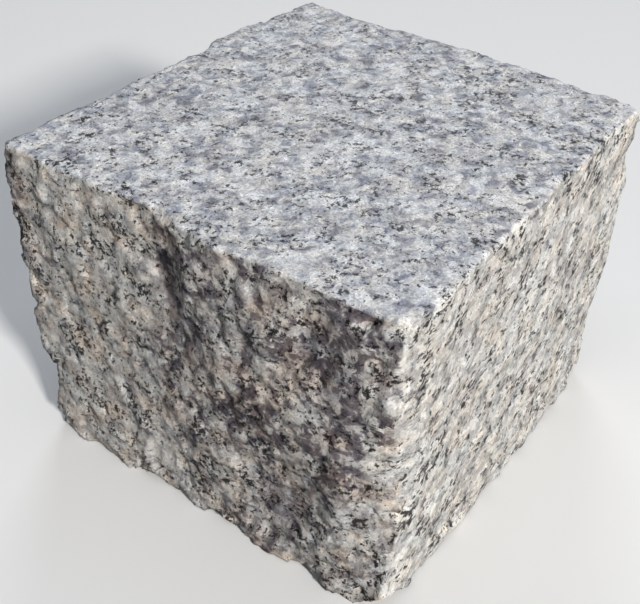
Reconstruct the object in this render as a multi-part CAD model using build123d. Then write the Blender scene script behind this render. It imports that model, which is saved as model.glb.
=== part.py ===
from build123d import *
import math
import os
from random import Random
from typing import NamedTuple

# A granite sett: a paving stone cut from a slab. The head is flamed and the bed is sawn, so both are flat.
# The four sides are cleft: the stone was split there, and the break runs in ledges, hollows and bosses.
# Up close a cleft side is hackly: it breaks into small flat facets, none of them quite in line with the next.
# The origin is on the bed at the middle of the stone's box. The front is -Y and the right-hand side is +X.

# Driving dimensions, in millimetres
HEAD_LENGTH = 100.0  # the head along its front and back edges
HEAD_WIDTH = 105.0  # the head along its right-hand and left-hand edges
HEIGHT = 80.0  # thickness of the slab, from the bed up to the head
LEDGE_STEP = 2.6  # how far a full ledge steps out of a cleft side
LEDGE_RUN = 11.0  # breadth of a ledge's riser
LEDGE_REACH = 16.0  # how far from its middle a full ledge dies away
SCAR_RADIUS = 12.0  # reach of a full hollow in a cleft side
SCAR_DEPTH = 1.8  # depth of a full hollow in a cleft side
FACET = 6.5  # breadth of a hackly facet
HACKLE = 0.65  # how far a facet's corner stands in or out of the broad break, at most
SPALL_RADIUS = 9.0  # curve of a full flake lost from an arris
SPALL_DEPTH = 1.5  # how far a full flake bites into an arris
BREAK_REACH = 14.0  # how far a full break runs from the corner that it took off

FACET_STRAY = 0.3  # how far a facet's corner strays from its place in an even net, as a share of FACET
ROWS = round(HEIGHT / FACET)  # facets from the bed up to the head


class Ledge(NamedTuple):
    """A step in a cleft side that dies away round its middle. It steps in where its rise is below nought."""

    along: float  # place along the side, from -1 at the side's start to 1 at its end
    up: float  # place up the side, from 0 at the bed to 1 at the head
    turn: float  # way it faces, in degrees: at 0 it steps out towards the side's end and at 90 upwards
    reach: float  # share of LEDGE_REACH
    rise: float  # share of LEDGE_STEP


class Scar(NamedTuple):
    """A shallow hollow in a cleft side, or a boss where its depth is below nought."""

    along: float
    up: float
    reach: float  # share of SCAR_RADIUS
    depth: float  # share of SCAR_DEPTH


class Side(NamedTuple):
    """A cleft side. It runs from one upright arris to the next, round the stone from the front left."""

    draw: int  # picks how its facets happen to fall
    outward: Vector
    half: float  # half its length
    start: float  # how far it stands out at its start, as a share of LEDGE_STEP
    end: float  # the same at its end
    ledges: tuple
    scars: tuple


class Spall(NamedTuple):
    """A flake lost from an arris."""

    side: Side
    place: float  # along the side from -1 to 1, or up its first arris from 0 to 1
    share: float  # share of a full flake


class Break(NamedTuple):
    """A corner broken off, where a side starts, along one slanting plane."""

    side: Side
    up: float  # 0 at the bed and 1 at the head
    before: float  # how far it runs along the side before, as a share of BREAK_REACH
    after: float  # the same along the side itself
    upright: float  # the same along the upright arris


FRONT = Side(
    draw=1035,
    outward=Vector(0, -1, 0),
    half=HEAD_LENGTH / 2,
    start=0.15,
    end=0.05,
    ledges=(
        Ledge(-0.11, 0.31, 34, 0.8, 0.5),
        Ledge(-0.03, 0.85, 9, 1.0, 1.3),
        Ledge(0.23, 0.51, 79, 0.6, 0.9),
        Ledge(0.33, 0.47, 3, 0.7, 0.9),
        Ledge(0.51, 0.33, 10, 0.7, 0.8),
        Ledge(0.65, 0.35, 11, 1.2, 1.2),
        Ledge(0.72, 0.47, 4, 0.7, 1.4),
        Ledge(0.75, 0.81, -4, 0.7, 1.3),
    ),
    scars=(
        Scar(-0.76, 0.00, 1.0, -0.2),
        Scar(-0.65, 0.57, 0.7, 0.4),
        Scar(-0.13, 0.00, 1.1, 0.5),
        Scar(0.35, 0.45, 1.3, -1.0),
        Scar(0.37, 0.18, 1.2, 0.7),
        Scar(0.39, 0.84, 0.8, -1.0),
        Scar(1.00, 0.30, 1.2, 2.4),
        Scar(1.00, 0.51, 1.0, 2.4),
        Scar(1.00, 1.00, 0.8, 0.8),
    ),
)
RIGHT = Side(
    draw=1744,
    outward=Vector(1, 0, 0),
    half=HEAD_WIDTH / 2,
    start=0.1,
    end=-0.6,
    ledges=(Ledge(0.08, 0.5, 18, 2.0, 0.35),),
    scars=(
        Scar(-1.00, 0.80, 0.9, 0.6),
        Scar(-0.55, 0.60, 1.8, 0.4),
        Scar(-0.10, 0.10, 1.5, -0.5),
        Scar(0.20, 0.00, 1.0, -0.4),
        Scar(0.45, 0.75, 1.8, 0.4),
        Scar(0.66, 0.00, 1.4, -0.8),
        Scar(1.00, 0.17, 0.9, 0.9),
    ),
)
BACK = Side(
    draw=638,
    outward=Vector(0, 1, 0),
    half=HEAD_LENGTH / 2,
    start=-0.45,
    end=0.9,
    ledges=(Ledge(-0.30, 0.5, 11, 2.0, 0.4), Ledge(0.62, 0.5, -7, 2.0, -0.4)),
    scars=(
        Scar(-0.45, 0.70, 1.6, -0.7),
        Scar(0.00, 0.50, 1.7, 0.9),
        Scar(0.72, 1.00, 1.0, 1.0),
        Scar(0.55, 0.15, 1.4, 0.7),
    ),
)
LEFT = Side(
    draw=424,
    outward=Vector(-1, 0, 0),
    half=HEAD_WIDTH / 2,
    start=0.0,
    end=0.85,
    ledges=(Ledge(-0.15, 0.5, -11, 2.0, -0.5),),
    scars=(
        Scar(-0.65, 0.45, 1.7, 0.8),
        Scar(-0.38, 1.00, 1.3, -1.5),
        Scar(0.45, 0.55, 1.6, -0.4),
        Scar(0.95, 0.50, 0.9, 0.6),
        Scar(1.00, 0.38, 0.5, -0.9),
        Scar(1.00, 0.13, 1.3, 2.2),
    ),
)
SIDES = (FRONT, RIGHT, BACK, LEFT)

HEAD_SPALLS = (
    Spall(FRONT, -0.68, 0.5),
    Spall(FRONT, -0.12, 1.0),
    Spall(FRONT, 0.58, 0.4),
    Spall(RIGHT, -0.35, 0.4),
    Spall(RIGHT, 0.52, 0.6),
    Spall(BACK, -0.74, 0.8),
    Spall(BACK, 0.46, 0.7),
    Spall(LEFT, -0.16, 1.1),
    Spall(LEFT, 0.44, 0.6),
)
BED_SPALLS = (
    Spall(FRONT, -0.36, 0.9),
    Spall(FRONT, 0.11, 1.1),
    Spall(FRONT, 0.56, 0.8),
    Spall(RIGHT, -0.72, 0.8),
    Spall(RIGHT, -0.46, 0.7),
    Spall(RIGHT, -0.10, 0.7),
    Spall(RIGHT, 0.54, 1.1),
    Spall(BACK, -0.50, 1.0),
    Spall(BACK, 0.45, 1.7),
    Spall(LEFT, -0.45, 1.4),
    Spall(LEFT, 0.20, 0.8),
)
UPRIGHT_SPALLS = (
    Spall(FRONT, 0.22, 1.2),
    Spall(FRONT, 0.58, 0.7),
    Spall(FRONT, 0.73, 0.7),
    Spall(RIGHT, 0.52, 0.5),
    Spall(BACK, 0.84, 0.9),
    Spall(BACK, 0.04, 1.2),
    Spall(LEFT, 0.62, 1.3),
)
BREAKS = (
    Break(RIGHT, up=0, before=0.50, after=0.90, upright=0.50),
    Break(RIGHT, up=1, before=0.35, after=0.30, upright=0.22),
    Break(FRONT, up=0, before=0.32, after=0.32, upright=0.22),
    Break(FRONT, up=1, before=0.12, after=0.12, upright=0.25),
    Break(BACK, up=1, before=0.20, after=0.20, upright=0.20),
)


def from_middle(side, mark, along, up):
    """How far a place on a side lies from the middle of a ledge or scar, along the side and up it."""
    return (along - mark.along) * side.half, (up - mark.up) * HEIGHT


def riser(runs):
    """Goes smoothly from -0.5 to 0.5 over about one run, with its middle at nought."""
    return math.tanh(4 * runs) / 2


def fade(reaches):
    """1 at the middle of a ledge or scar, dying away to nought a little past its reach."""
    return math.exp(-(reaches**2))


def relief(side, along, up):
    """How far the broad break of a cleft side stands out of its flat plane at a place on it."""
    out = LEDGE_STEP * (side.start + (side.end - side.start) * (along + 1) / 2)
    for ledge in side.ledges:
        across, above = from_middle(side, ledge, along, up)
        turn = math.radians(ledge.turn)
        past_riser = across * math.cos(turn) + above * math.sin(turn)
        step = LEDGE_STEP * ledge.rise * riser(past_riser / LEDGE_RUN)
        out += step * fade(math.hypot(across, above) / (LEDGE_REACH * ledge.reach))
    for scar in side.scars:
        across, above = from_middle(side, scar, along, up)
        out -= SCAR_DEPTH * scar.depth * fade(math.hypot(across, above) / (SCAR_RADIUS * scar.reach))
    return out


def side_before(side):
    return SIDES[SIDES.index(side) - 1]


def side_after(side):
    return SIDES[(SIDES.index(side) + 1) % len(SIDES)]


def upright_arris(side, up):
    """Point of the upright arris where a side starts."""
    before = side_before(side)
    # Half the length of one side is how far its neighbours stand from the middle
    return (
        side.outward * (before.half + relief(side, -1, up))
        + before.outward * (side.half + relief(before, 1, up))
        + Vector(0, 0, HEIGHT * up)
    )


def side_point(side, along, up):
    """Point of the broad break of a cleft side. At its two ends it lies on the upright arrises."""
    share = (along + 1) / 2
    start = upright_arris(side, up)
    end = upright_arris(side_after(side), up)
    ends_out = relief(side, -1, up) * (1 - share) + relief(side, 1, up) * share
    return start + (end - start) * share + side.outward * (relief(side, along, up) - ends_out)


def columns(side):
    """How many facets lie along a side."""
    return round(2 * side.half / FACET)


def chance(*names):
    """A number from -1 to 1 that looks picked by chance, and is always the same for the same names."""
    return Random(str(names)).uniform(-1, 1)


def facet_corner(side, column, row):
    """Point where facets of a cleft side meet. On an arris it only strays along the arris and outward."""
    if column == columns(side):
        return facet_corner(side_after(side), 0, row)
    outward = side.outward
    aside = FACET_STRAY * chance(side.draw, column, row, "aside")
    above = FACET_STRAY * chance(side.draw, column, row, "above")
    if column == 0:
        outward += side_before(side).outward
        aside = 0
    if row in (0, ROWS):
        above = 0
    place = side_point(side, 2 * (column + aside) / columns(side) - 1, (row + above) / ROWS)
    return place + outward * HACKLE * chance(side.draw, column, row, "outward")


def facets(side):
    """Flat three-cornered facets that make up a cleft side."""
    faces = []
    for row in range(ROWS):
        for column in range(columns(side)):
            low_start = facet_corner(side, column, row)
            low_end = facet_corner(side, column + 1, row)
            high_end = facet_corner(side, column + 1, row + 1)
            high_start = facet_corner(side, column, row + 1)
            if (row + column) % 2:
                halves = (low_start, low_end, high_end), (low_start, high_end, high_start)
            else:
                halves = (low_start, low_end, high_start), (low_end, high_end, high_start)
            faces += [Face(Wire.make_polygon(half)) for half in halves]
    return faces


def flat_face(row):
    """The bed or the head."""
    corners = [facet_corner(side, column, row) for side in SIDES for column in range(columns(side))]
    return Face(Wire.make_polygon(corners))


def cleft_block():
    """Slab with its four cleft sides, from bed to head."""
    faces = [flat_face(0), flat_face(ROWS)]
    for side in SIDES:
        faces += facets(side)
    return Solid(Shell(faces))


def flake(place, outward, share):
    """Ball that takes the scoop of a lost flake out of an arris."""
    radius = SPALL_RADIUS * share
    return Pos(place + outward.normalized() * (radius - SPALL_DEPTH * share)) * Sphere(radius)


def lost_flakes():
    """Every scoop out of the head's, the bed's and the upright arrises."""
    up = Vector(0, 0, 1)
    flakes = []
    for side, place, share in HEAD_SPALLS:
        flakes.append(flake(side_point(side, place, 1), side.outward + up, share))
    for side, place, share in BED_SPALLS:
        flakes.append(flake(side_point(side, place, 0), side.outward - up, share))
    for side, place, share in UPRIGHT_SPALLS:
        flakes.append(flake(upright_arris(side, place), side.outward + side_before(side).outward, share))
    return flakes


def broken_off(stone, corner):
    """Takes off a corner along its slanting break."""
    way = 1 - 2 * corner.up  # a break at the bed runs up the arris and one at the head runs down it
    tip = upright_arris(corner.side, corner.up)
    on_before = tip - corner.side.outward * BREAK_REACH * corner.before
    on_after = tip - side_before(corner.side).outward * BREAK_REACH * corner.after
    on_arris = tip + Vector(0, 0, way * BREAK_REACH * corner.upright)
    across = on_after - on_before
    inward = (on_arris - on_before).cross(across) * way
    return split(stone, Plane(on_before, x_dir=across, z_dir=inward), keep=Keep.TOP)


sett = cleft_block() - lost_flakes()
for corner in BREAKS:
    sett = broken_off(sett, corner)
middle = sett.bounding_box().center()
sett = Pos(-middle.X, -middle.Y, 0) * sett
sett.label = "granite_sett"

os.makedirs("parts", exist_ok=True)
export_step(sett, "parts/granite_sett.step")
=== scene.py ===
import math

import bmesh
import bpy
import numpy as np
from mathutils import Matrix, Vector, noise
from mathutils.bvhtree import BVHTree


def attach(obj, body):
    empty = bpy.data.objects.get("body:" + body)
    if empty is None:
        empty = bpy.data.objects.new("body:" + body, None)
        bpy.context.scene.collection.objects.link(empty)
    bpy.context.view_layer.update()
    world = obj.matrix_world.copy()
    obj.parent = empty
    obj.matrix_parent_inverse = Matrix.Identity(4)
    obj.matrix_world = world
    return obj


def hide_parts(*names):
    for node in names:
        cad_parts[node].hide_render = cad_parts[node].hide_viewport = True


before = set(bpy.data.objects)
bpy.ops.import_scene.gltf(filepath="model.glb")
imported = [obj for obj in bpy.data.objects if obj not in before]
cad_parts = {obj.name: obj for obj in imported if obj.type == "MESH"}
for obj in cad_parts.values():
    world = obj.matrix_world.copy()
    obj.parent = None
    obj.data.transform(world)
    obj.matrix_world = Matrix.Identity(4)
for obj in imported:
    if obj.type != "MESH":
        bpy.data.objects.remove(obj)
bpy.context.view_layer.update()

# Block of granite
# The whole sett is one stone. It was sawn from a slab 80 mm thick and then split on four sides.
# Splitting leaves ledges, hollows and plucked grains, and the arrises crumble a little.
MM = 0.001
NET = 0.78 * MM  # spacing of the mesh that carries the broken grains
WELD = 0.001 * MM  # points of the solid that lie closer than this are one

plain_block = bmesh.new()
plain_block.from_mesh(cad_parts["granite_sett"].data)
bmesh.ops.remove_doubles(plain_block, verts=plain_block.verts, dist=WELD)
block_mesh = bpy.data.meshes.new("granite_block")
plain_block.to_mesh(block_mesh)
cut_stone = BVHTree.FromBMesh(plain_block)
plain_block.free()
stone = bpy.data.objects.new("granite_stone", block_mesh)
bpy.context.scene.collection.objects.link(stone)
even_net = stone.modifiers.new("even_net", "REMESH")
even_net.mode = "VOXEL"
even_net.voxel_size = NET
netted = stone.evaluated_get(bpy.context.evaluated_depsgraph_get())
stone_mesh = bpy.data.meshes.new_from_object(netted)
stone.modifiers.clear()
stone.data = stone_mesh
stone_mesh.name = "granite_stone"
bpy.data.meshes.remove(block_mesh)


def read_points(mesh):
    points = np.empty(len(mesh.vertices) * 3)
    mesh.vertices.foreach_get("co", points)
    return points.reshape(-1, 3)


def read_normals(mesh):
    normals = np.empty(len(mesh.vertices) * 3)
    mesh.vertex_normals.foreach_get("vector", normals)
    return normals.reshape(-1, 3)


def eased(points, edges, rounds):
    """The same net, eased: in each round every point moves to the mean of its neighbours."""
    count = np.bincount(edges.ravel(), minlength=len(points))[:, None]
    for _ in range(rounds):
        total = np.zeros_like(points)
        for axis in range(3):
            total[:, axis] += np.bincount(edges[:, 0], points[edges[:, 1], axis], len(points))
            total[:, axis] += np.bincount(edges[:, 1], points[edges[:, 0], axis], len(points))
        points = total / count
    return points


def ramp(low, high, value):
    """Smooth step from 0 at low to 1 at high."""
    share = np.clip((value - low) / (high - low), 0.0, 1.0)
    return share * share * (3.0 - 2.0 * share)


def waves(place, size, octaves):
    """Height of random waves about one size long, with finer ones on top."""
    return noise.fractal(place / size, 0.8, 2.0, octaves)


def plucked_grains(place, size):
    """Height of a surface whose grains, about one size across, each broke off at a tilt of their own."""
    spot = place / size
    middle = noise.voronoi(spot)[1][0]
    tilt = noise.cell_vector(middle) - Vector((0.5, 0.5, 0.5))
    return size * tilt.dot(spot - middle)


def chip_chance(place, size):
    """A number from 0 to 1 that is the same all over one chip, about one size across."""
    return noise.cell_vector(noise.voronoi(place / size)[1][0]).x


net_points = read_points(stone_mesh)
normals = read_normals(stone_mesh)
edges = np.empty(len(stone_mesh.edges) * 2, dtype=int)
stone_mesh.edges.foreach_get("vertices", edges)
edges = edges.reshape(-1, 2)
points = np.array([cut_stone.find_nearest(Vector(place))[0] for place in net_points])
height = points[:, 2].max()

# Where the stone is head, bed, cleft side or arris. Each pair runs from none of it to all of it.
WORN_ROUNDS = 16
BLUNT_ROUNDS = 130
ARRIS_EASING = (0.1 * MM, 0.7 * MM)  # how far wear moves a point
FLAT_FACING = (0.55, 0.9)  # upward part of a normal on the head, downward part on the bed
HEAD_LEVEL = (height - 4 * MM, height - 2 * MM)
BED_LEVEL = (3 * MM, 1 * MM)
FRONT_FACING = (0.3, 0.8)
SHADED_FACING = (0.7, 0.3)  # rightward part of a normal
FOOT_LEVEL = (12 * MM, 4 * MM)
NEAR_CORNER_X = (36 * MM, 46 * MM)
NEAR_CORNER_Y = (-38 * MM, -47 * MM)
NEAR_CORNER_LEVEL = (2 * MM, 18 * MM)  # the corner stays sharp at the foot
NEAR_CORNER_HEAD = 0.6  # how much of the blunting the head is spared
EVEN_SPLIT = 0.35  # share of the relief on the right-hand side, which split evenly

worn = eased(points, edges, WORN_ROUNDS)
blunt = eased(worn, edges, BLUNT_ROUNDS)
arris = ramp(*ARRIS_EASING, np.linalg.norm(points - worn, axis=1))
head = ramp(*FLAT_FACING, normals[:, 2]) * ramp(*HEAD_LEVEL, points[:, 2])
bed = ramp(*FLAT_FACING, -normals[:, 2]) * ramp(*BED_LEVEL, points[:, 2])
cleft = np.clip(1.0 - head - bed, 0.0, 1.0)
front = ramp(*FRONT_FACING, -normals[:, 1])
shaded = ramp(*SHADED_FACING, normals[:, 0])  # all but the right-hand side, which stayed clean
bold = EVEN_SPLIT + (1.0 - EVEN_SPLIT) * shaded
foot = ramp(*FOOT_LEVEL, points[:, 2])
near_corner = ramp(*NEAR_CORNER_X, points[:, 0]) * ramp(*NEAR_CORNER_Y, points[:, 1])
near_corner *= (1.0 - NEAR_CORNER_HEAD * head) * ramp(*NEAR_CORNER_LEVEL, points[:, 2])

# The break's own facets run into each other with soft creases
points += (worn - points) * (cleft * (1.0 - arris))[:, None]

# Broken grains of the cleft sides, and steps along their foot
BARELY = 0.01  # where a mask is below this, its work is skipped
BREAK_WAVE = 9.0 * MM
BREAK_WAVE_HEIGHT = 0.22 * MM
COARSE_GRAIN = 8.0 * MM
MIDDLE_GRAIN = 4.5 * MM
FINE_GRAIN = 2.6 * MM
GRAIN_TILT = 0.16
FOOT_WAVE = 7.0 * MM
FOOT_WAVE_HEIGHT = 0.3 * MM
FOOT_STEP = 13.0 * MM
FOOT_STEP_TILT = 0.2
# Shifts that give a pattern another draw
SECOND_DRAW = Vector((0.0, -1.0, 0.0))
THIRD_DRAW = Vector((1.0, 0.0, 0.0))
FOURTH_DRAW = Vector((-1.0, 0.0, 0.0))

# Skin of the flamed head
FLAMED_GRAIN = 2.4 * MM
FLAMED_WAVE_HEIGHT = 0.14 * MM
FLAMED_TILT = 0.10

# Chips and crumbs along the arrises
NEAR_CHIP = 9.0 * MM
NEAR_CHIP_CHANCE = (0.35, 0.65)
NEAR_CHIP_LEAST = 0.32
NEAR_CHIP_MORE = 0.6
CHIP = 6.0 * MM
CHIP_CHANCE = 0.45  # a chip is lost where its chance is above this
CHIP_WEAR = 1.6
ARRIS_CHIPS = 0.12
FOOT_CHIPS = 0.4
CRUMB = 3.0 * MM
CRUMBS_LEAST = 0.02
CRUMBS_MORE = 0.26

# Soil on the front, and a little on the two sides behind. Painted shade on the front beside the near arris
# and along the top of the left arris, and darker patches at the top of the near arris. Places run along X and
# up Z.
HIDDEN_SIDE_SOIL = 0.3
SOIL_EDGE_X = (-22 * MM, 6 * MM)
SOIL_EDGE_WAVE = 5 * MM
SOIL_RISE = (12 * MM, 58 * MM)
SOIL_LOW = 0.6
SOIL_PATCH = 11.0 * MM
SOIL_PATCH_CHANCE = (-0.25, 0.35)
# Painted shade: a dark band on the front beside the near arris, and one along the top of the left arris,
# where the faces turn from the light
PAINTED_SHADE = 1.1
PAINTED_SHADE_START_X = (28 * MM, 35 * MM)
PAINTED_SHADE_END_X = (46 * MM, 41 * MM)
PAINTED_SHADE_RISE = (22 * MM, 42 * MM)
LEFT_ARRIS_SHADE = 0.7
LEFT_ARRIS_SHADE_X = (-43 * MM, -49 * MM)
LEFT_ARRIS_SHADE_RISE = (38 * MM, 52 * MM)
CHIPPED_CLEAN = 0.85  # how much soil a fresh chip takes away
CHIPPED_CLEAN_X = (40 * MM, 45 * MM)
# Darker patches towards the top of the near arris
NEAR_TOP_DARKENING = 0.6
NEAR_TOP_DARKENING_RISE = (52 * MM, 60 * MM)
NEAR_TOP_DARKENING_CHANCE = (-0.4, 0.2)
IRON_EVERYWHERE = 0.35
IRON_ON_FRONT = 0.4

moves = np.zeros(len(points))
wear = np.zeros(len(points))
soil_and_shade = np.zeros(len(points))
iron = IRON_EVERYWHERE + IRON_ON_FRONT * front
near_chips = np.zeros(len(points))
for i, place in enumerate(points):
    spot = Vector(place)
    wave = waves(spot, BREAK_WAVE, 4)
    if cleft[i] > BARELY:
        broken = BREAK_WAVE_HEIGHT * wave
        broken += GRAIN_TILT * plucked_grains(spot, COARSE_GRAIN)
        broken += GRAIN_TILT * plucked_grains(spot + SECOND_DRAW, MIDDLE_GRAIN)
        broken += GRAIN_TILT * plucked_grains(spot + THIRD_DRAW, FINE_GRAIN)
        ragged = FOOT_WAVE_HEIGHT * waves(spot, FOOT_WAVE, 2)
        ragged += FOOT_STEP_TILT * plucked_grains(spot + FOURTH_DRAW, FOOT_STEP)
        moves[i] += cleft[i] * (bold[i] * broken + foot[i] * ragged)
        soiled_share = ramp(*SOIL_EDGE_X, spot.x + SOIL_EDGE_WAVE * wave)
        soiled_share *= SOIL_LOW + 0.6 * ramp(*SOIL_RISE, spot.z)
        soil_and_shade[i] = cleft[i] * shaded[i] * (soiled_share if front[i] > 0.5 else HIDDEN_SIDE_SOIL)
        soil_and_shade[i] *= 0.5 + 0.9 * ramp(*SOIL_PATCH_CHANCE, waves(spot + THIRD_DRAW, SOIL_PATCH, 3))
        # Painted shade beside the near arris and along the top of the left arris, added to the soil
        painted_shade = ramp(*PAINTED_SHADE_START_X, spot.x) * ramp(*PAINTED_SHADE_END_X, spot.x) * ramp(*PAINTED_SHADE_RISE, spot.z)
        painted_shade += LEFT_ARRIS_SHADE * ramp(*LEFT_ARRIS_SHADE_X, spot.x) * ramp(*LEFT_ARRIS_SHADE_RISE, spot.z)
        soil_and_shade[i] += PAINTED_SHADE * front[i] * painted_shade
    if near_corner[i] > BARELY:
        chipped = ramp(*NEAR_CHIP_CHANCE, chip_chance(spot, NEAR_CHIP) + 0.2 * wave)
        near_chips[i] = near_corner[i] * (NEAR_CHIP_LEAST + NEAR_CHIP_MORE * chipped)
        soil_and_shade[i] *= 1.0 - CHIPPED_CLEAN * near_chips[i] * ramp(*CHIPPED_CLEAN_X, spot.x)
        # Darker in patches towards the top of the near arris
        near_top_darkening = ramp(*NEAR_TOP_DARKENING_RISE, spot.z) * ramp(*NEAR_TOP_DARKENING_CHANCE, wave)
        soil_and_shade[i] += NEAR_TOP_DARKENING * near_corner[i] * near_top_darkening
    if head[i] > BARELY:
        flamed = FLAMED_WAVE_HEIGHT * waves(spot, FLAMED_GRAIN, 3)
        flamed += FLAMED_TILT * plucked_grains(spot + SECOND_DRAW, FLAMED_GRAIN)
        moves[i] += head[i] * flamed
    if arris[i] > BARELY:
        crumbs = CRUMBS_LEAST + CRUMBS_MORE * max(0.0, waves(spot, CRUMB, 3))
        chips = CHIP_WEAR * max(0.0, chip_chance(spot, CHIP) - CHIP_CHANCE)
        wear[i] = arris[i] * (crumbs + (ARRIS_CHIPS + FOOT_CHIPS * foot[i]) * chips)

points += (worn - points) * (wear * (1.0 - near_corner))[:, None]
points += (blunt - points) * near_chips[:, None]
points += normals * (moves * (1.0 - bed))[:, None]
points[:, 2] = np.clip(points[:, 2], 0.0, None)
stone_mesh.vertices.foreach_set("co", points.ravel())
stone_mesh.update()

# Hollows are where the lightly eased net lies inside the well eased one. The cleft finish paints shade into
# them.
HOLLOW_NEAR_ROUNDS = 10
HOLLOW_BROAD_ROUNDS = 200
FULL_HOLLOW = 1.2 * MM
inside = eased(points, edges, HOLLOW_BROAD_ROUNDS) - eased(points, edges, HOLLOW_NEAR_ROUNDS)
hollow = np.clip((inside * read_normals(stone_mesh)).sum(axis=1) / FULL_HOLLOW, -1.0, 1.0)
for name, values in (("hollow", hollow), ("soil_and_shade", soil_and_shade), ("iron", iron)):
    store = stone_mesh.attributes.new(name, "FLOAT", "POINT")
    store.data.foreach_set("value", values.astype(np.float32))


def add_node(tree, kind, settings=None, inputs=None):
    """Adds a shader node. An input is set to a value, or linked where it is given another node's socket."""
    node = tree.nodes.new(kind)
    for name, value in (settings or {}).items():
        setattr(node, name, value)
    for name, value in (inputs or {}).items():
        if isinstance(value, bpy.types.NodeSocket):
            tree.links.new(value, node.inputs[name])
        else:
            node.inputs[name].default_value = value
    return node


def maths(tree, operation, *values):
    node = add_node(tree, "ShaderNodeMath", {"operation": operation}, dict(enumerate(values)))
    return node.outputs[0]


def vector_maths(tree, operation, *values):
    slots = (0, "Scale") if operation == "SCALE" else (0, 1)
    node = add_node(tree, "ShaderNodeVectorMath", {"operation": operation}, dict(zip(slots, values)))
    return node.outputs["Value" if operation == "DOT_PRODUCT" else "Vector"]


def blend_colours(tree, share, first, second, blend="MIX"):
    node = add_node(tree, "ShaderNodeMix", {"data_type": "RGBA", "blend_type": blend})
    for name, value in (("Factor_Float", share), ("A_Color", first), ("B_Color", second)):
        socket = next(s for s in node.inputs if s.identifier == name)
        if isinstance(value, bpy.types.NodeSocket):
            tree.links.new(value, socket)
        else:
            socket.default_value = value
    return next(s for s in node.outputs if s.identifier == "Result_Color")


def smooth_mask(tree, value, low, high):
    settings = {"interpolation_type": "SMOOTHSTEP", "clamp": True}
    inputs = {"Value": value, "From Min": low, "From Max": high}
    return add_node(tree, "ShaderNodeMapRange", settings, inputs).outputs["Result"]


def noise_field(tree, place, size_mm, detail=2.0, rough=0.5, bend=0.0):
    inputs = {"Vector": place, "Scale": 1.0 / size_mm}
    inputs.update({"Detail": detail, "Roughness": rough, "Distortion": bend})
    return add_node(tree, "ShaderNodeTexNoise", None, inputs)


def grain_cells(tree, place, size_mm):
    return add_node(tree, "ShaderNodeTexVoronoi", None, {"Vector": place, "Scale": 1.0 / size_mm})


# Minerals of the granite, shared by its three finishes
WHITE_FELDSPAR = (0.86, 0.85, 0.825, 1.0)
PALE_FELDSPAR = (0.60, 0.60, 0.58, 1.0)
BLUE_QUARTZ = (0.385, 0.397, 0.46, 1.0)
CLEAN_QUARTZ = (0.665, 0.66, 0.638, 1.0)
GREY_QUARTZ = (0.46, 0.455, 0.45, 1.0)
SMOKY_QUARTZ = (0.22, 0.22, 0.24, 1.0)
BIOTITE = (0.022, 0.022, 0.024, 1.0)
WARM_GRAIN = (1.0, 0.972, 0.94, 1.0)
COOL_GRAIN = (0.95, 0.972, 1.0, 1.0)
GRAIN_RUN = (0.24, 0.93, 0.28)  # way in which the grains are drawn out a little
GRAIN_RUN_SHARE = 0.12  # how much all but the flakes are drawn out
HALF = (0.5, 0.5, 0.5)  # middle of a random colour

# Sizes of the minerals' patterns, in millimetres
ZONE_MM = 7.0
CLOUD_MM = 3.0
GRAIN_MM = 2.1
WAVER_MM = 1.1
MOTTLE_MM = 0.42
TINT_MM = 4.5
FLOCK_MM = 5.0
FLAKE_MM = 1.1
FINE_MM = 0.9
WAVER_REACH = (2.2, 2.2, 2.2)

minerals = bpy.data.node_groups.new("granite_minerals", "ShaderNodeTree")
for name in ("Biotite", "Flocking", "Mottle", "Drawn Out"):
    minerals.interface.new_socket(name, in_out="INPUT", socket_type="NodeSocketFloat")
minerals.interface.new_socket("Quartz", in_out="INPUT", socket_type="NodeSocketColor")
minerals.interface.new_socket("Color", in_out="OUTPUT", socket_type="NodeSocketColor")
for name in ("Roughness", "Grain Height", "Feldspar"):
    minerals.interface.new_socket(name, in_out="OUTPUT", socket_type="NodeSocketFloat")
minerals.interface.new_socket("Place", in_out="OUTPUT", socket_type="NodeSocketVector")

given = add_node(minerals, "NodeGroupInput")


def mineral_colour(value):
    """Colour of the ground mass, from smoky quartz at low values to white feldspar at high ones."""
    is_quartz = smooth_mask(minerals, value, 0.34, 0.44)
    is_white = smooth_mask(minerals, value, 0.48, 0.57)
    is_feldspar = smooth_mask(minerals, value, 0.41, 0.51)
    quartz = blend_colours(minerals, is_quartz, SMOKY_QUARTZ, given.outputs["Quartz"])
    feldspar = blend_colours(minerals, is_white, PALE_FELDSPAR, WHITE_FELDSPAR)
    return blend_colours(minerals, is_feldspar, quartz, feldspar)


object_place = add_node(minerals, "ShaderNodeTexCoord").outputs["Object"]
place_mm = vector_maths(minerals, "MULTIPLY", object_place, (1 / MM, 1 / MM, 1 / MM))


def drawn_out(share):
    """Places in which whatever is laid out comes out longer along the grain."""
    run = vector_maths(minerals, "DOT_PRODUCT", place_mm, GRAIN_RUN)
    along = maths(minerals, "MULTIPLY", run, share)
    return vector_maths(minerals, "SUBTRACT", place_mm, vector_maths(minerals, "SCALE", GRAIN_RUN, along))


flake_place = drawn_out(given.outputs["Drawn Out"])
place = drawn_out(GRAIN_RUN_SHARE)
waver = noise_field(minerals, place, WAVER_MM, 3.0).outputs["Color"]
waver = vector_maths(minerals, "SUBTRACT", waver, HALF)
wavering = vector_maths(minerals, "ADD", place, vector_maths(minerals, "MULTIPLY", waver, WAVER_REACH))

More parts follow.
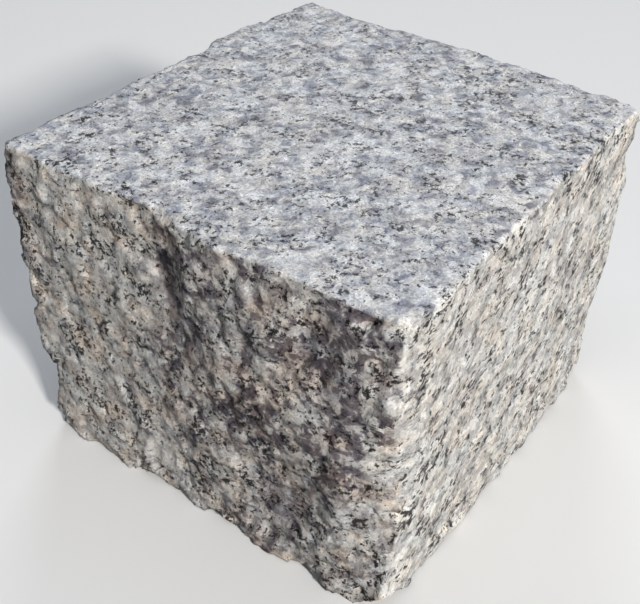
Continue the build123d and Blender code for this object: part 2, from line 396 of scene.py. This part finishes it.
# Ground mass: clouds of quartz and feldspar, partly broken up into single grains
zone = noise_field(minerals, place, ZONE_MM, 2.0).outputs["Fac"]
cloud = noise_field(minerals, place, CLOUD_MM, 4.0, 0.62, 0.6).outputs["Fac"]
cloud = maths(minerals, "MULTIPLY_ADD", maths(minerals, "SUBTRACT", zone, 0.5), 0.22, cloud)
grains = grain_cells(minerals, wavering, GRAIN_MM)
lot = add_node(minerals, "ShaderNodeSeparateColor", None, {"Color": grains.outputs["Color"]}).outputs["Red"]
single_grains = mineral_colour(smooth_mask(minerals, lot, -0.1, 1.1))
rock = blend_colours(minerals, 0.35, mineral_colour(cloud), single_grains)
feldspar = maths(minerals, "MULTIPLY_ADD", lot, 0.12, maths(minerals, "SUBTRACT", cloud, 0.06))
feldspar = smooth_mask(minerals, feldspar, 0.38, 0.58)
mottle = noise_field(minerals, flake_place, MOTTLE_MM, 3.0, 0.65).outputs["Fac"]
mottle = maths(minerals, "SUBTRACT", mottle, 0.5)
mottle = maths(minerals, "MULTIPLY_ADD", mottle, given.outputs["Mottle"], 1.0)
rock = blend_colours(minerals, 1.0, rock, mottle, "MULTIPLY")
tint = noise_field(minerals, flake_place, TINT_MM, 3.0, 0.6).outputs["Fac"]
tint = blend_colours(minerals, smooth_mask(minerals, tint, 0.36, 0.64), COOL_GRAIN, WARM_GRAIN)
rock = blend_colours(minerals, 1.0, rock, tint, "MULTIPLY")

# Black flakes of biotite, which lie in flocks
flock = noise_field(minerals, place, FLOCK_MM, 2.0).outputs["Fac"]
flakes = noise_field(minerals, flake_place, FLAKE_MM, 5.0, 0.74).outputs["Fac"]
flock_pull = maths(minerals, "MULTIPLY", maths(minerals, "SUBTRACT", flock, 0.5), given.outputs["Flocking"])
bar = maths(minerals, "SUBTRACT", 0.66, maths(minerals, "MULTIPLY", given.outputs["Biotite"], 0.2))
biotite = maths(minerals, "SUBTRACT", maths(minerals, "ADD", flakes, flock_pull), bar)
biotite = smooth_mask(minerals, biotite, 0.0, 0.055)
rock = blend_colours(minerals, maths(minerals, "MULTIPLY", biotite, 0.96), rock, BIOTITE)

facet = vector_maths(minerals, "SUBTRACT", wavering, grains.outputs["Position"])
facet_tilt = vector_maths(minerals, "SUBTRACT", grains.outputs["Color"], HALF)
facet_height = vector_maths(minerals, "DOT_PRODUCT", facet, facet_tilt)
fine_height = noise_field(minerals, place, FINE_MM, 4.0, 0.6).outputs["Fac"]
grain_height = maths(minerals, "ADD", facet_height, maths(minerals, "MULTIPLY", fine_height, 0.7))
roughness = maths(minerals, "SUBTRACT", 0.65, maths(minerals, "MULTIPLY", biotite, 0.25))
results = {"Color": rock, "Roughness": roughness, "Grain Height": grain_height}
results.update({"Feldspar": feldspar, "Place": place})
add_node(minerals, "NodeGroupOutput", None, results)


def granite_finish(name, biotite, flocking, mottle, drawn, quartz, relief_mm):
    """A material of the granite's minerals, with its grains standing up by a share of a millimetre."""
    material = bpy.data.materials.new(name)
    material.use_nodes = True
    tree = material.node_tree
    tree.nodes.clear()
    shares = {"Biotite": biotite, "Flocking": flocking, "Mottle": mottle}
    shares.update({"Drawn Out": drawn, "Quartz": quartz})
    rock = add_node(tree, "ShaderNodeGroup", {"node_tree": minerals}, shares)
    relief = {"Distance": relief_mm * MM, "Height": rock.outputs["Grain Height"]}
    grain = add_node(tree, "ShaderNodeBump", None, relief)
    shader = add_node(
        tree,
        "ShaderNodeBsdfPrincipled",
        None,
        {
            "Base Color": rock.outputs["Color"],
            "Roughness": rock.outputs["Roughness"],
            "Normal": grain.outputs["Normal"],
            "Specular IOR Level": 0.15,
        },
    )
    add_node(tree, "ShaderNodeOutputMaterial", None, {"Surface": shader.outputs["BSDF"]})
    return material, tree, rock, shader


IRON_STAIN = (1.0, 0.87, 0.78, 1.0)
IRON_STAIN_MM = 8.0
HOLLOW_SHADE = (0.42, 0.395, 0.465, 1.0)
SOIL_AND_SHADE = (0.40, 0.365, 0.405, 1.0)
FELDSPAR_SHEDS = 0.85  # how much of the soil feldspar keeps off
HEAD_SKYLIGHT_TINT = (0.945, 0.957, 1.0, 1.0)

cleft_finish, tree, rock, shader = granite_finish(
    "cleft_granite", biotite=0.57, flocking=0.4, mottle=1.2, drawn=0.34, quartz=CLEAN_QUARTZ, relief_mm=0.2
)
# The soil attribute holds soil together with painted shade beside the arrises
soil_and_shade_value = add_node(tree, "ShaderNodeAttribute", {"attribute_name": "soil_and_shade"}).outputs["Fac"]
iron_value = add_node(tree, "ShaderNodeAttribute", {"attribute_name": "iron"}).outputs["Fac"]
hollow_value = add_node(tree, "ShaderNodeAttribute", {"attribute_name": "hollow"}).outputs["Fac"]
dull_quartz = blend_colours(tree, soil_and_shade_value, CLEAN_QUARTZ, GREY_QUARTZ)
tree.links.new(dull_quartz, rock.inputs["Quartz"])
stain = noise_field(tree, rock.outputs["Place"], IRON_STAIN_MM, 4.0, 0.6).outputs["Fac"]
stain = maths(tree, "MULTIPLY", smooth_mask(tree, stain, 0.44, 0.64), iron_value)
stained = blend_colours(tree, stain, rock.outputs["Color"], IRON_STAIN, "MULTIPLY")
# Painted shade: the hollows of the broken faces are darkened in colour
shade = smooth_mask(tree, hollow_value, 0.0, 0.9)
shade = maths(tree, "MULTIPLY", shade, maths(tree, "MULTIPLY_ADD", soil_and_shade_value, 0.25, 0.65))
hollow_shaded_colour = blend_colours(tree, shade, stained, HOLLOW_SHADE, "MULTIPLY")
# Soil and painted shade darken all but the feldspar
shed = maths(tree, "MULTIPLY", rock.outputs["Feldspar"], FELDSPAR_SHEDS)
soil_and_shade_share = maths(tree, "MULTIPLY", soil_and_shade_value, maths(tree, "SUBTRACT", 1.0, shed))
soiled_and_shaded = blend_colours(tree, soil_and_shade_share, hollow_shaded_colour, SOIL_AND_SHADE, "MULTIPLY")
tree.links.new(soiled_and_shaded, shader.inputs["Base Color"])

flamed_finish, tree, rock, shader = granite_finish(
    "flamed_granite", biotite=0.525, flocking=0.35, mottle=1.95, drawn=0.14, quartz=BLUE_QUARTZ, relief_mm=0.3
)
# Painted light: the whole head is tinted cool, standing in for cool light from above
painted_skylight = blend_colours(tree, 1.0, rock.outputs["Color"], HEAD_SKYLIGHT_TINT, "MULTIPLY")
tree.links.new(painted_skylight, shader.inputs["Base Color"])

sawn_finish = granite_finish(
    "sawn_granite", biotite=0.44, flocking=0.4, mottle=1.4, drawn=0.2, quartz=GREY_QUARTZ, relief_mm=0.05
)[0]

FINISHES = (cleft_finish, flamed_finish, sawn_finish)
for finish in FINISHES:
    stone_mesh.materials.append(finish)
for face in stone_mesh.polygons:
    face.use_smooth = True
    corners = list(face.vertices)
    if head[corners].mean() > 0.5:
        face.material_index = FINISHES.index(flamed_finish)
    elif bed[corners].mean() > 0.5:
        face.material_index = FINISHES.index(sawn_finish)

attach(stone, "root")
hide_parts("granite_sett")

# Pale floor
# A plain matt sheet that the stone stands on. It isn't part of the stone.
# It looks pale but throws little light back up, so that the shaded side keeps its depth.
FLOOR_SIDE = 2.4
FLOOR_SEEN = (0.86, 0.86, 0.86, 1.0)
FLOOR_BOUNCE = (0.22, 0.22, 0.22, 1.0)

floor_mesh = bpy.data.meshes.new("pale_floor")
half = FLOOR_SIDE / 2
floor_corners = [(-half, -half, 0), (half, -half, 0), (half, half, 0), (-half, half, 0)]
floor_mesh.from_pydata(floor_corners, [], [(0, 1, 2, 3)])
floor = bpy.data.objects.new("pale_floor", floor_mesh)
bpy.context.scene.collection.objects.link(floor)
floor_paint = bpy.data.materials.new("pale_floor_paint")
floor_paint.use_nodes = True
floor_tree = floor_paint.node_tree
floor_shader = floor_tree.nodes["Principled BSDF"]
floor_seen = add_node(floor_tree, "ShaderNodeLightPath").outputs["Is Camera Ray"]
floor_colour = blend_colours(floor_tree, floor_seen, FLOOR_BOUNCE, FLOOR_SEEN)
floor_tree.links.new(floor_colour, floor_shader.inputs["Base Color"])
floor_shader.inputs["Roughness"].default_value = 0.9
floor_mesh.materials.append(floor_paint)

# Light
# A warm lamp stands low on the right, a broad cool one stands behind, and a cool sheet hangs overhead.
# The air itself gives little light, but looks pale beyond the floor.
AIR_COLOUR = (0.86, 0.92, 1.0, 1.0)
AIR_LIGHT = 0.06
AIR_SEEN = 0.80

air = bpy.data.worlds.new("studio_air")
air.use_nodes = True
air_background = air.node_tree.nodes["Background"]
air_background.inputs["Color"].default_value = AIR_COLOUR
air_seen = add_node(air.node_tree, "ShaderNodeLightPath").outputs["Is Camera Ray"]
air_strength = maths(air.node_tree, "MULTIPLY_ADD", air_seen, AIR_SEEN - AIR_LIGHT, AIR_LIGHT)
air.node_tree.links.new(air_strength, air_background.inputs["Strength"])
bpy.context.scene.world = air


def soft_lamp(name, azimuth, elevation, distance, side, watts, colour):
    """Square lamp that faces the stone. Azimuth runs from -Y towards +X, in degrees."""
    turn = math.radians(azimuth)
    rise = math.radians(elevation)
    away = Vector((math.sin(turn) * math.cos(rise), -math.cos(turn) * math.cos(rise), math.sin(rise)))
    data = bpy.data.lights.new(name, "AREA")
    data.shape = "SQUARE"
    data.size = side
    data.energy = watts
    data.color = colour
    lamp = bpy.data.objects.new(name, data)
    bpy.context.scene.collection.objects.link(lamp)
    aim = Vector((0.0, 0.0, height / 2))
    lamp.location = aim + away * distance
    lamp.rotation_euler = away.to_track_quat("Z", "Y").to_euler()


soft_lamp(
    "warm_lamp", azimuth=67.0, elevation=28.0, distance=2.0, side=0.22, watts=41.0, colour=(1.0, 0.968, 0.922)
)
soft_lamp(
    "back_lamp", azimuth=215.0, elevation=30.0, distance=2.0, side=0.8, watts=11.0, colour=(0.93, 0.96, 1.0)
)
soft_lamp(
    "overhead_sheet", azimuth=0.0, elevation=90.0, distance=1.0, side=1.0, watts=3.7, colour=(0.87, 0.93, 1.0)
)
bpy.context.scene.view_settings.view_transform = "Standard"

# Camera
# It stands at the front right corner and looks down on the stone, as the photograph was taken.
# Its angles, distance, aim and focal length were fitted to the photograph.
CAMERA_AZIMUTH = math.radians(35.428)
CAMERA_ELEVATION = math.radians(37.677)
CAMERA_ROLL = math.radians(1.802)
CAMERA_DISTANCE = 232.345 * MM
CAMERA_AIM = Vector((5.273, -13.051, 40.143)) * MM
PICTURE_WIDTH = 640
FOCAL_PIXELS = 985.7

back = Vector((
    math.sin(CAMERA_AZIMUTH) * math.cos(CAMERA_ELEVATION),
    -math.cos(CAMERA_AZIMUTH) * math.cos(CAMERA_ELEVATION),
    math.sin(CAMERA_ELEVATION),
))
level = Vector((math.cos(CAMERA_AZIMUTH), math.sin(CAMERA_AZIMUTH), 0.0))
upward = back.cross(level)
rolled_level = math.cos(CAMERA_ROLL) * level + math.sin(CAMERA_ROLL) * upward
rolled_upward = math.cos(CAMERA_ROLL) * upward - math.sin(CAMERA_ROLL) * level
camera_data = bpy.data.cameras.new("camera")
camera_data.sensor_width = 36.0
camera_data.lens = FOCAL_PIXELS / PICTURE_WIDTH * camera_data.sensor_width
camera_data.clip_start = 0.01
camera = bpy.data.objects.new("camera", camera_data)
bpy.context.scene.collection.objects.link(camera)
stand = Matrix((rolled_level, rolled_upward, back)).transposed().to_4x4()
stand.translation = CAMERA_AIM + back * CAMERA_DISTANCE
camera.matrix_world = stand
bpy.context.scene.camera = camera
